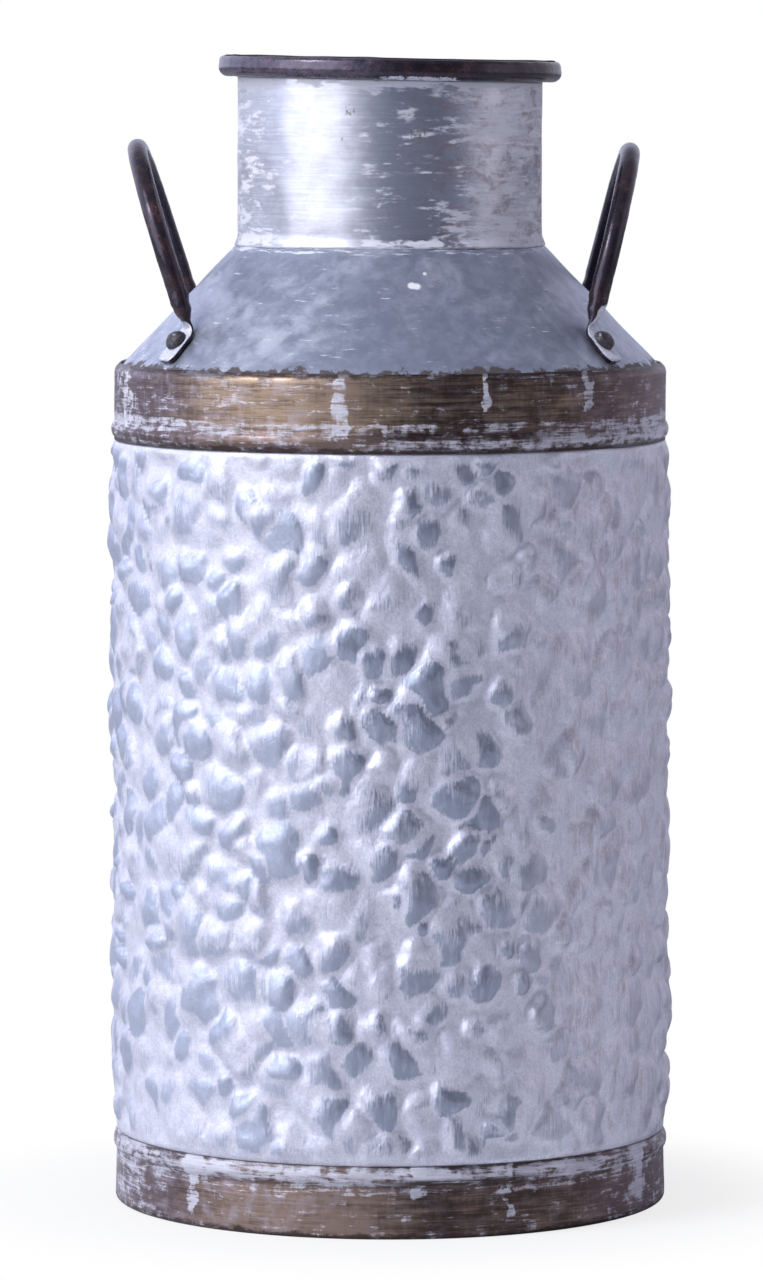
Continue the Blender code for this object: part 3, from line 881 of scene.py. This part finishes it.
def build_body():
    low_end = BASE_HIGH.z + 0.1
    high_end = SHOULDER_LOW.z - 0.1
    step = (BODY_RADIUS - INNER_RADIUS) * 0.6
    path = [
        (INNER_RADIUS, BODY_LOW.z),
        (INNER_RADIUS, low_end),
        (BODY_RADIUS, low_end + step),
        (BODY_RADIUS, high_end - step),
        (INNER_RADIUS, high_end),
        (INNER_RADIUS, BODY_HIGH.z),
    ]
    path = resampled(path, HAMMER_ROW_STEP)
    marks = {}

    def dent(points, angles):
        relief, raised, rubbed = hammer_marks(points, angles)
        height = points[..., 2]
        fade = smooth_step(height, low_end, low_end + HAMMER_FADE)
        fade = fade * (1.0 - smooth_step(height, high_end - HAMMER_FADE, high_end))
        off_seam = from_seam(angles, BODY_RADIUS)
        fade = fade * smooth_step(off_seam, SEAM_HALF_WIDTH, SEAM_HALF_WIDTH + HAMMER_FADE)
        marks["raised"] = raised * fade
        marks["rubbed"] = rubbed * fade
        waves = 0.35 * lattice_noise(points, 40.0, SEED + 9)
        facets = 0.60 * lattice_noise(points, 6.5, SEED + 10)
        facets = facets + 0.18 * lattice_noise(points, 3.0, SEED + 11)
        push = (relief + waves + facets) * fade
        return push + seam(points, angles, low_end + 3.0, high_end - 3.0)

    mesh, inner_rows = sheet_mesh("body", path, round_angles(HAMMER_COLUMNS), dent, inner_stride=8)
    for label, outside in marks.items():
        values = np.concatenate([outside, np.zeros((inner_rows, HAMMER_COLUMNS))])
        set_attribute(mesh, label, values)
    return link_piece("body", mesh, hammered_zinc(), "body_shell")


# The other sheets

COLUMNS = 360


def build_base_band():
    foot = BODY_RADIUS + BASE_FLARE
    bead_low = BASE_HIGH.z - BAND_EDGE - BEAD_HEIGHT
    path = [(foot - HEM_WIDTH, 0.0)]
    path += arc((foot - HEM_CORNER, HEM_CORNER), HEM_CORNER, -90.0, 0.0)
    path += bead(BODY_RADIUS, bead_low)
    path.append((BODY_RADIUS, BASE_HIGH.z))
    material = bronze_paint("bronze_base", 0.0, BASE_HIGH.z, bead_low, -1, DULL_GOLD, BASE_DRIPS)
    uneven = plain_dents(0.15, 18.0, 21)

    def dent(points, angles):
        return uneven(points, angles) * smooth_step(points[..., 2], 1.0, 5.0)

    mesh, _ = sheet_mesh("base_band", resampled(path, 1.2), round_angles(COLUMNS), dent)
    return link_piece("base_band_skin", mesh, material, "base_band")


def build_shoulder_band():
    lift = SHEET + GAP
    corner = cone_corner(BODY_RADIUS, CONE_CORNER + lift, lift)
    lip = 1.5 / math.sqrt(2)
    bead_low = SHOULDER_LOW.z + BAND_EDGE
    path = [(BODY_RADIUS, SHOULDER_LOW.z)]
    path += bead(BODY_RADIUS, bead_low)
    path += corner + [(corner[-1][0] - lip, corner[-1][1] + lip)]
    material = bronze_paint(
        "bronze_shoulder", SHOULDER_LOW.z, SHOULDER_HIGH.z, bead_low, 1, GOLD, SHOULDER_DRIPS
    )
    dent = plain_dents(0.18, 16.0, 31)
    mesh, _ = sheet_mesh("shoulder_band", resampled(path, 1.2), round_angles(COLUMNS), dent)
    return link_piece("shoulder_band_skin", mesh, material, "shoulder_band")


def build_cone():
    path = [(INNER_RADIUS, CONE_LOW.z)]
    path += cone_corner(INNER_RADIUS, CONE_CORNER, 0.0)
    bend = 1.5
    path.append((UPSTAND_RADIUS + bend, cone_height(UPSTAND_RADIUS + bend)))
    path.append((UPSTAND_RADIUS, cone_height(UPSTAND_RADIUS) + bend))
    path.append((UPSTAND_RADIUS, CONE_HIGH.z))
    seam_low = cone_height(INNER_RADIUS - 5.0)
    seam_high = cone_height(NECK_RADIUS + 4.0)
    dent = plain_dents(0.3, 24.0, 41, (seam_low, seam_high))
    mesh, _ = sheet_mesh("cone", resampled(path, 1.6), round_angles(COLUMNS), dent)
    return link_piece("shoulder_cone_skin", mesh, cone_zinc(), "shoulder_cone")


def build_neck():
    lift = SHEET + GAP
    corner = cone_height(NECK_RADIUS, lift)
    flange = 2.5 / math.sqrt(2)
    sunk = 0.5
    path = [(NECK_RADIUS + flange - sunk, corner - flange - sunk)]
    path += [(NECK_RADIUS + 0.7, corner - 0.6), (NECK_RADIUS + 0.2, corner + 0.6)]
    path += [(NECK_RADIUS, corner + 2.0)]
    path += arc(RIM_CENTRE, RIM_WIRE + GAP, 180.0, 75.0, 14)
    dent = plain_dents(0.26, 17.0, 51, (corner + 2.0, RIM_LOW.z - 2.0))
    mesh, _ = sheet_mesh("neck", resampled(path, 1.3), round_angles(COLUMNS), dent)
    return link_piece("neck_skin", mesh, neck_zinc(), "neck_collar")


def build_bottom_pan():
    corner_radius = 2.0
    pinhole = 0.4  # keeps the innermost ring of points from meeting at the axis
    path = [(INNER_RADIUS, PAN_LOW.z)]
    path += arc((INNER_RADIUS - corner_radius, PAN_HIGH.z - corner_radius), corner_radius, 0.0, 90.0)
    path.append((pinhole, PAN_HIGH.z))
    dent = plain_dents(0.3, 30.0, 61)
    mesh, _ = sheet_mesh("pan", resampled(path, 3.0), round_angles(144), dent)
    return link_piece("bottom_pan_skin", mesh, cone_zinc(), "bottom_pan")


def build_rim():
    """The rim ring, flush with the neck's curl and as uneven as a hand-bent bar under thick paint."""
    angles = round_angles(COLUMNS)
    turns = np.radians(np.linspace(-180.0, 180.0, 61)[:-1])
    flush = SHEET + GAP
    degrees = np.degrees(turns)
    swell = smooth_step(degrees, 15.0, 60.0) * (1.0 - smooth_step(degrees, 67.0, 72.0))
    section = RIM_WIRE + flush * swell
    ring = RIM_CENTRE + np.stack([section * np.cos(turns), section * np.sin(turns)], axis=1)
    flat = turned(ring, angles)
    push = 0.14 * fractal_noise(flat, 9.0, 71) + 0.06 * lattice_noise(flat, 2.5, 74)
    radius = ring[:, :1] + np.cos(turns)[:, None] * push
    height = ring[:, 1:] + np.sin(turns)[:, None] * push
    points = tilted(to_space(radius, height, angles))
    mesh = new_mesh("rim", points, grid_faces(len(turns), COLUMNS))
    return link_piece("rim_ring_skin", mesh, black_paint("rim_paint"), "rim_ring")


# Handles and rivets

RIVET_AZIMUTH_DEG = 33.5
RIVET_RADIUS_ON_CONE = 93.5
RIVET_SIDES = 40
SHANK_RADIUS = 2.0
HEAD_RADIUS = 4.2
HEAD_HEIGHT = 3.4
TAIL_RADIUS = 3.6
TAIL_HEIGHT = 1.6
TAB_THICKNESS = 2.2
TAB_BELOW_RIVET = 9.0
TAB_ABOVE_RIVET = 6.5
BEND_LENGTH = 3.0
ARCH_RADIUS = 48.0
BAR_STEP = 0.8
BAR_SIDES = 36
FOLD = TAB_BELOW_RIVET + TAB_ABOVE_RIVET
TWIST_END = FOLD + 5.5

# Distance along the bar from its end, half width, half thickness and squareness (1 is round), in mm
BAR_SECTIONS = (
    (0.0, 3.2, 0.8, 0.45),
    (0.9, 4.2, 1.1, 0.45),
    (2.5, 4.8, 1.1, 0.45),
    (FOLD - 3.0, 4.7, 1.1, 0.45),
    (FOLD, 3.5, 0.95, 0.5),
    (FOLD + 1.8, 3.2, 1.0, 0.6),
    (FOLD + 3.8, 3.6, 1.8, 0.75),
    (FOLD + 6.5, 3.9, 2.9, 0.95),
    (FOLD + 10.0, 3.8, 3.6, 1.0),
    (FOLD + 14.0, 3.7, 3.7, 1.0),
)

# Each handle's side, its arch's top (distance and height), and how far up the wash covers its feet
HANDLES = {"left": (-1.0, 95.9, 401.1, 3.0), "right": (1.0, 91.1, 399.7, 10.0)}


def unit(vector):
    return vector / np.linalg.norm(vector, axis=-1, keepdims=True)


def cone_frame(azimuth):
    """The place of a rivet on the cone, the cone's normal there and the direction down the cone."""
    outward = np.array([math.cos(azimuth), math.sin(azimuth), 0.0])
    up = np.array([0.0, 0.0, 1.0])
    place = outward * RIVET_RADIUS_ON_CONE + up * cone_height(RIVET_RADIUS_ON_CONE)
    return place, unit(outward * CONE_SLOPE + up), unit(outward - up * CONE_SLOPE)


def half_handle(top):
    """Half the right handle's centreline, distances along it, and which way its tab and arch face."""
    place, normal, down = cone_frame(-math.radians(RIVET_AZIMUTH_DEG))
    seat = place + normal * (GAP + TAB_THICKNESS / 2)
    end = seat + down * TAB_BELOW_RIVET
    foot = seat - down * TAB_ABOVE_RIVET
    up = unit(top - foot * (1.0, 0.0, 1.0))
    centre = top - up * ARCH_RADIUS
    spring = centre - (0.0, ARCH_RADIUS, 0.0)
    leg = unit(spring - foot)
    share = np.linspace(0.0, 1.0, 9)[:, None]
    before = foot + down * BEND_LENGTH * (1.0 - share)
    after = foot + leg * BEND_LENGTH * share
    bend = before + (after - before) * share
    turn = np.linspace(0.0, math.pi / 2, 60)[:, None]
    arch = centre + ARCH_RADIUS * (up * np.sin(turn) - np.array([0.0, 1.0, 0.0]) * np.cos(turn))
    corners = np.concatenate([[end], bend, arch])
    lengths = np.append(0.0, np.cumsum(np.linalg.norm(np.diff(corners, axis=0), axis=1)))
    distance = np.linspace(0.0, lengths[-1], math.ceil(lengths[-1] / BAR_STEP) + 1)
    path = np.stack([np.interp(distance, lengths, corners[:, axis]) for axis in range(3)], axis=1)
    return path, distance, normal, np.cross(up, (0.0, -1.0, 0.0))


def build_handle(name):
    side, top_x, top_z, reach = HANDLES[name]
    path, distance, tab_normal, arch_face = half_handle(np.array([top_x, 0.0, top_z]))
    tangent = unit(np.gradient(path, axis=0))
    twist = smooth_step(distance, FOLD - 1.0, TWIST_END)[:, None]
    face = tab_normal * (1.0 - twist) + arch_face * twist
    across = unit(np.cross(face, tangent))
    upright = np.cross(tangent, across)
    stations = np.array(BAR_SECTIONS)
    width, thickness, squareness = (
        np.interp(distance, stations[:, 0], column)[:, None] for column in stations.T[1:]
    )
    turn = (np.arange(BAR_SIDES) + 0.5) * 2 * math.pi / BAR_SIDES
    wide = np.sign(np.cos(turn)) * np.abs(np.cos(turn)) ** squareness * width
    thick = np.sign(np.sin(turn)) * np.abs(np.sin(turn)) ** squareness * thickness
    arms = across[:, None] * wide[..., None] + upright[:, None] * thick[..., None]
    rings = path[:, None] + arms
    forged = (1.0 - smooth_step(distance, FOLD + 6.0, FOLD + 26.0)) * smooth_step(distance, 8.0, FOLD)
    rough = 0.05 + 0.30 * forged
    push = rough[:, None] * fractal_noise(rings, 3.0, SEED + 20)
    push = push + 0.10 * lattice_noise(rings, 9.0, SEED + 25)
    rings = rings + unit(arms) * push[..., None]
    outer_side = smooth_step(np.sin(turn), -0.1, 0.5)
    spray = outer_side * (1.0 - smooth_step(distance, FOLD + reach - 4.0, FOLD + reach + 4.0))[:, None]
    rings = np.concatenate([rings, rings[-2::-1] * (1.0, -1.0, 1.0)])
    spray = np.concatenate([spray, spray[-2::-1]])
    mesh = tube_mesh("handle_" + name, rings * (side, side, 1.0))
    set_attribute(mesh, "spray", spray)
    paint = black_paint("handle_paint_" + name)
    return link_piece("handle_" + name + "_bar", mesh, paint, "handle_" + name)


def build_rivet(suffix, azimuth, seed, material):
    """A rivet with a hammered head, set on the cone."""
    head_seat = TAB_THICKNESS + 2 * GAP
    tail_seat = -SHEET - GAP
    tail_end = tail_seat - TAIL_HEIGHT
    centre = 0.1
    outline = [
        (centre, tail_end),
        (TAIL_RADIUS * 0.8, tail_end),
        (TAIL_RADIUS, tail_end + TAIL_HEIGHT * 0.4),
        (TAIL_RADIUS, tail_seat),
        (SHANK_RADIUS, tail_seat),
        (SHANK_RADIUS, head_seat),
    ]
    dome = arc((0.0, 0.0), 1.0, 0.0, 88.5, 12)
    outline += [(HEAD_RADIUS * x, head_seat + HEAD_HEIGHT * y) for x, y in dome]
    outline = resampled(outline, 0.45)
    angles = round_angles(RIVET_SIDES)
    local = turned(outline, angles)
    head = smooth_step(local[..., 2], head_seat, head_seat + 0.5)
    facets = 0.05 * lattice_noise(local, 2.6, seed) + 0.025 * lattice_noise(local, 0.9, seed + 1)
    uneven = 1.0 + head * facets
    local = (local - (0.0, 0.0, head_seat)) * uneven[..., None] + (0.0, 0.0, head_seat)
    place, normal, down = cone_frame(azimuth)
    axes = np.stack([down, np.cross(normal, down), normal])
    mesh = tube_mesh("rivet_" + suffix, place + local @ axes)
    return link_piece("rivet_" + suffix + "_fine", mesh, material, "rivet_" + suffix)


def build_handles_and_rivets():
    for name in HANDLES:
        build_handle(name)
    side = math.radians(RIVET_AZIMUTH_DEG)
    places = {
        "right_front": -side,
        "right_rear": side,
        "left_front": math.pi + side,
        "left_rear": math.pi - side,
    }
    paint = rivet_paint()
    for number, (suffix, azimuth) in enumerate(places.items()):
        build_rivet(suffix, azimuth, SEED + 30 + 2 * number, paint)


# Studio

CAMERA_DISTANCE = 2.65
CAMERA_HEIGHT = 0.44
CAMERA_TILT_DEG = 4.88
LENS_MM = 195.75
AXIS_SHIFT = -0.006640625  # the can stands a little off the middle, as a share of the image's height
SKY_COLOUR = (0.90, 0.95, 1.22)
WARM_COLOUR = (1.00, 0.96, 1.14)

# What the can's metal reflects all round it: azimuth in degrees (0 is in front, 90 right), level, colour
SURROUNDINGS = (
    (-180, 0.90, SKY_COLOUR),
    (-115, 1.30, SKY_COLOUR),
    (-85, 1.30, SKY_COLOUR),
    (-35, 0.75, SKY_COLOUR),
    (-15, 0.50, SKY_COLOUR),
    (5, 0.30, SKY_COLOUR),
    (28, 0.12, SKY_COLOUR),
    (45, 0.16, WARM_COLOUR),
    (65, 0.60, WARM_COLOUR),
    (95, 0.60, WARM_COLOUR),
    (140, 0.62, WARM_COLOUR),
    (180, 0.90, SKY_COLOUR),
)
CEILING_STARTS = 0.35  # the sine of the elevation where the surroundings give way to the ceiling
CEILING_FULL = 0.75
CEILING_LEVELS = (0.55, 0.26)  # at the left and at the right
DIFFUSE_LOSSES = (0.70, 0.10)  # the share of diffuse light that is held back, at the left and right
FLOOR_RADIUS = 12.0
FLOOR_FADE = (106.0, 200.0)  # the floor fades into the background between these radii, in mm
FLOOR_GLOW = (0.80, 1.0)  # the share of plain white in what the camera sees of it there


def build_camera():
    data = bpy.data.cameras.new("camera")
    data.lens = LENS_MM
    data.shift_x = AXIS_SHIFT
    data.clip_end = 100.0
    camera = bpy.data.objects.new("camera", data)
    camera.location = (0.0, -CAMERA_DISTANCE, CAMERA_HEIGHT)
    camera.rotation_euler = (math.radians(90.0 - CAMERA_TILT_DEG), 0.0, 0.0)
    bpy.context.scene.collection.objects.link(camera)
    bpy.context.scene.camera = camera


def softbox(name, azimuth_deg, distance, heights, size, radiance, colour, diffuse=True, glossy=True):
    """A rectangular light aimed at the can's axis. Azimuth 0 is in front of the can and 90 to its right.

    heights are those of its centre and of its aim. diffuse and glossy say what it shows up in.
    """
    data = bpy.data.lights.new(name, "AREA")
    data.shape = "RECTANGLE"
    data.size, data.size_y = size
    data.energy = radiance * math.pi * size[0] * size[1]
    data.color = colour
    light = bpy.data.objects.new(name, data)
    azimuth = math.radians(azimuth_deg)
    back = Vector((math.sin(azimuth), -math.cos(azimuth), 0.0))
    light.location = back * distance + Vector((0.0, 0.0, heights[0]))
    aim = Vector((0.0, 0.0, heights[1])) - light.location
    light.rotation_euler = aim.to_track_quat("-Z", "Y").to_euler()
    light.visible_camera = False
    light.visible_diffuse = diffuse
    light.visible_glossy = glossy
    bpy.context.scene.collection.objects.link(light)


def build_lights():
    softbox("key", -57.0, 1.8, (1.28, 1.28), (1.75, 2.0), 1.7, (1.0, 1.0, 1.0))
    softbox("high_key", -55.0, 1.1, (2.0, 0.25), (0.5, 0.5), 42.0, (0.93, 0.96, 1.04), glossy=False)
    softbox("sparkle", -60.0, 1.6, (1.55, 0.30), (0.4, 0.4), 19.0, (0.95, 0.97, 1.0), diffuse=False)
    softbox("fill", 80.0, 2.2, (1.0, 1.0), (0.9, 1.6), 0.35, (1.0, 0.95, 0.97))


def build_world():
    """White to the camera. To the can it is a studio that is bright at the left and dark in front right.

    Its diffuse light is dimmed, so that the soft boxes shape the can and it shows in the reflections.
    """
    world = bpy.data.worlds.new("studio")
    bpy.context.scene.world = world
    world.use_nodes = True
    n = Nodes(world.node_tree)
    right, back, up = n.split(n.new("TexCoord").outputs["Generated"])
    azimuth = n.math("ARCTAN2", right, n.times(back, -1.0))
    ring = n.new("ValToRGB")
    elements = ring.color_ramp.elements
    while len(elements) < len(SURROUNDINGS):
        elements.new(0.5)
    for element, (degrees, level, colour) in zip(elements, SURROUNDINGS):
        element.position = degrees / 360 + 0.5
        element.color = (*(level * channel for channel in colour), 1.0)
    n.put(ring.inputs[0], n.ramp(azimuth, -math.pi, math.pi, shape="LINEAR"))
    ceiling = n.scaled(SKY_COLOUR, n.ramp(right, -0.8, 0.6, *CEILING_LEVELS, shape="LINEAR"))
    above = n.ramp(up, CEILING_STARTS, CEILING_FULL, shape="LINEAR")
    sky = n.mix(above, ring.outputs[0], ceiling)
    path = n.new("LightPath").outputs
    loss = n.times(path["Is Diffuse Ray"], n.ramp(right, -0.3, 0.5, *DIFFUSE_LOSSES, shape="LINEAR"))
    light = n.scaled(sky, n.math("SUBTRACT", 1.0, loss))
    seen = n.mix(path["Is Camera Ray"], light, (1.0, 1.0, 1.0))
    n.put(n.nodes["Background"].inputs["Color"], seen)


def build_floor():
    """A pale floor that fades into the white background away from the can."""
    mesh = bpy.data.meshes.new("floor")
    ring = [(FLOOR_RADIUS * math.cos(a), FLOOR_RADIUS * math.sin(a), 0.0) for a in round_angles(64)]
    mesh.from_pydata(ring, [], [list(range(len(ring)))])
    floor = bpy.data.objects.new("floor", mesh)
    bpy.context.scene.collection.objects.link(floor)
    s = Shader("floor_paint")
    s.finish(FLOOR_GREY, 0.0, 0.7)
    glow = s.new("Emission")
    distance = s.new("VectorMath", "LENGTH")
    s.put(distance.inputs[0], s.place)
    far = s.ramp(distance.outputs["Value"], *FLOOR_FADE, *FLOOR_GLOW)
    blend = s.new("MixShader")
    s.put(blend.inputs[0], s.times(s.new("LightPath").outputs["Is Camera Ray"], far))
    s.put(blend.inputs[1], s.surface.outputs[0])
    s.put(blend.inputs[2], glow.outputs[0])
    s.put(s.nodes["Material Output"].inputs["Surface"], blend.outputs[0])
    mesh.materials.append(s.material)


def build_studio():
    build_world()
    build_floor()
    build_camera()
    build_lights()
    bpy.context.scene.view_settings.view_transform = "Standard"


def build_pieces():
    build_body()
    build_base_band()
    build_shoulder_band()
    build_cone()
    build_neck()
    build_bottom_pan()
    build_rim()
    build_handles_and_rivets()


build_pieces()
build_studio()
